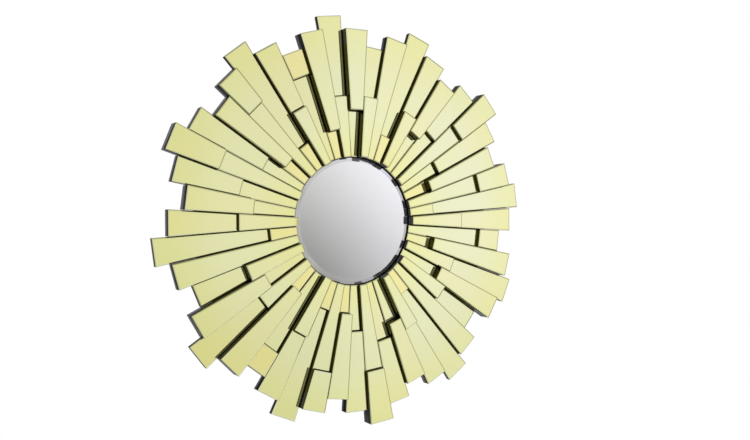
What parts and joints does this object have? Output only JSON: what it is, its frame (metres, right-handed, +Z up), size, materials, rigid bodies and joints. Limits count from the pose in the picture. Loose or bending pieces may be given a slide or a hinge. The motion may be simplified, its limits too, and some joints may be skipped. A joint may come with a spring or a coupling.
{
  "type": "sunburst wall mirror",
  "caption": "Round wall mirror set in a sunburst of wedge-shaped, stepped blocks faced with bevelled tinted mirror glass, for hanging on a wall.",
  "frame": {"origin": "centre of the backing board's back face, on the wall", "axes": "+Z up, +Y into the wall; the mirrors face -Y"},
  "size_m": [0.9998, 0.0483, 0.9998],
  "materials": {
    "gold_mirror": "bevelled mirror glass with a pale champagne tint, on black painted board",
    "silver_mirror": "bevelled clear mirror glass",
    "black_board": "fibreboard painted matt black",
    "zinc_steel": "zinc-plated steel sheet"
  },
  "bodies": {
    "root": {"backing_board": "black_board", "centre_disc": "black_board", "centre_mirror": "silver_mirror", "hanger_plate_left": "zinc_steel", "hanger_plate_right": "zinc_steel", "ray_01": "gold_mirror", "ray_02": "gold_mirror", "ray_03": "gold_mirror", "ray_04": "gold_mirror", "ray_05": "gold_mirror", "ray_06": "gold_mirror", "ray_07": "gold_mirror", "ray_08": "gold_mirror", "ray_09": "gold_mirror", "ray_10": "gold_mirror", "ray_11": "gold_mirror", "ray_12": "gold_mirror", "ray_13": "gold_mirror", "ray_14": "gold_mirror", "ray_15": "gold_mirror", "ray_16": "gold_mirror", "ray_17": "gold_mirror", "ray_18": "gold_mirror", "ray_19": "gold_mirror", "ray_20": "gold_mirror", "ray_21": "gold_mirror", "ray_22": "gold_mirror", "ray_23": "gold_mirror", "ray_24": "gold_mirror", "ray_25": "gold_mirror", "ray_26": "gold_mirror", "ray_27": "gold_mirror", "ray_28": "gold_mirror", "ray_29": "gold_mirror", "ray_30": "gold_mirror", "ray_31": "gold_mirror", "ray_32": "gold_mirror", "ray_33": "gold_mirror", "ray_34": "gold_mirror", "ray_35": "gold_mirror", "ray_36": "gold_mirror", "ray_37": "gold_mirror", "ray_38": "gold_mirror", "ray_39": "gold_mirror", "ray_40": "gold_mirror", "ray_41": "gold_mirror", "ray_42": "gold_mirror", "ray_43": "gold_mirror", "ray_44": "gold_mirror", "ray_45": "gold_mirror", "ray_46": "gold_mirror", "ray_47": "gold_mirror", "ray_48": "gold_mirror"}
  },
  "joints": []
}
